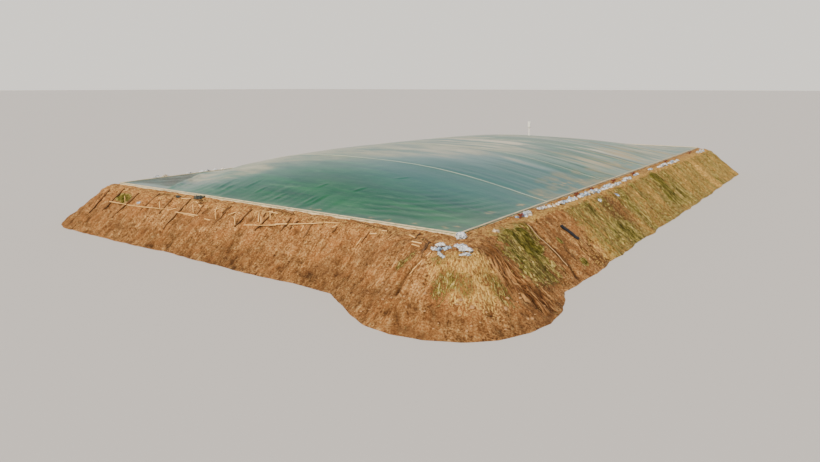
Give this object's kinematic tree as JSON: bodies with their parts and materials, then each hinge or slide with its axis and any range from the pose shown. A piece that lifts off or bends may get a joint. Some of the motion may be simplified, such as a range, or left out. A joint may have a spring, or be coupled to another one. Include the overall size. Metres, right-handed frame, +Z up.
{
  "type": "covered lagoon biogas digester, 1:10 scale model",
  "caption": "Scale model of a covered lagoon digester: earth bank round a lined basin, inflated green gas cover clamped to a ring beam, sandbags, slope timber and a flare.",
  "frame": {"origin": "middle of the underside of the basin floor, on the ground, under the centre of the cover", "axes": "+Z up; +Y along the basin away from the short front side with the slope timber; +X towards the long grassy side"},
  "size_m": [7.6, 12.65, 0.99],
  "materials": {
    "bare_earth": "dry compacted orange-brown soil, rough",
    "grassy_earth": "soil with short olive and straw-coloured grass, rough",
    "concrete": "pale cream concrete, dusty",
    "pale_timber": "raw straw-coloured softwood",
    "green_cover": "satin green gas membrane with fine wrinkles and dust",
    "weld_flap": "satin, paler than the membrane",
    "black_sheet": "black polyethylene, satin",
    "woven_bag": "dusty white and pale blue woven bags",
    "white_paint": "white paint, satin",
    "pale_pipe": "sun-bleached cream pipe"
  },
  "bodies": {
    "root": {"front_embankment": "bare_earth", "right_embankment": "grassy_earth", "rear_embankment": "grassy_earth", "left_embankment": "bare_earth", "front_left_corner_embankment": "bare_earth", "front_right_corner_embankment": "grassy_earth", "rear_right_corner_embankment": "grassy_earth", "rear_left_corner_embankment": "grassy_earth", "basin_liner": "black_sheet", "front_ring_beam": "concrete", "right_ring_beam": "concrete", "rear_ring_beam": "concrete", "left_ring_beam": "concrete", "front_clamp_batten": "pale_timber", "right_clamp_batten": "pale_timber", "rear_clamp_batten": "pale_timber", "left_clamp_batten": "pale_timber", "cover_panel_1": "green_cover", "cover_panel_2": "green_cover", "cover_panel_3": "green_cover", "cover_panel_4": "green_cover", "cover_panel_5": "green_cover", "cover_weld_1": "weld_flap", "cover_weld_2": "weld_flap", "cover_weld_3": "weld_flap", "cover_weld_4": "weld_flap", "corner_bag_stack": "woven_bag", "corner_bag_pile_left": "woven_bag", "corner_bag_pile_right": "woven_bag", "right_bag_heap": "woven_bag", "right_bag_row_1": "woven_bag", "right_bag_row_2": "woven_bag", "right_bag_row_3": "woven_bag", "right_bag_row_4": "woven_bag", "right_bag_row_5": "woven_bag", "right_bag_row_6": "woven_bag", "right_bag_row_7": "woven_bag", "left_bag_row_1": "woven_bag", "left_bag_row_2": "woven_bag", "slope_pole_left": "pale_timber", "slope_pole_middle": "pale_timber", "slope_grid_1": "pale_timber", "slope_grid_2": "pale_timber", "slope_grid_3": "pale_timber", "slope_grid_4": "pale_timber", "pale_slope_pipe": "pale_pipe", "black_slope_pipe": "black_sheet", "flare_footing": "concrete", "flare_stem": "white_paint", "flare_head": "white_paint"}
  },
  "joints": []
}
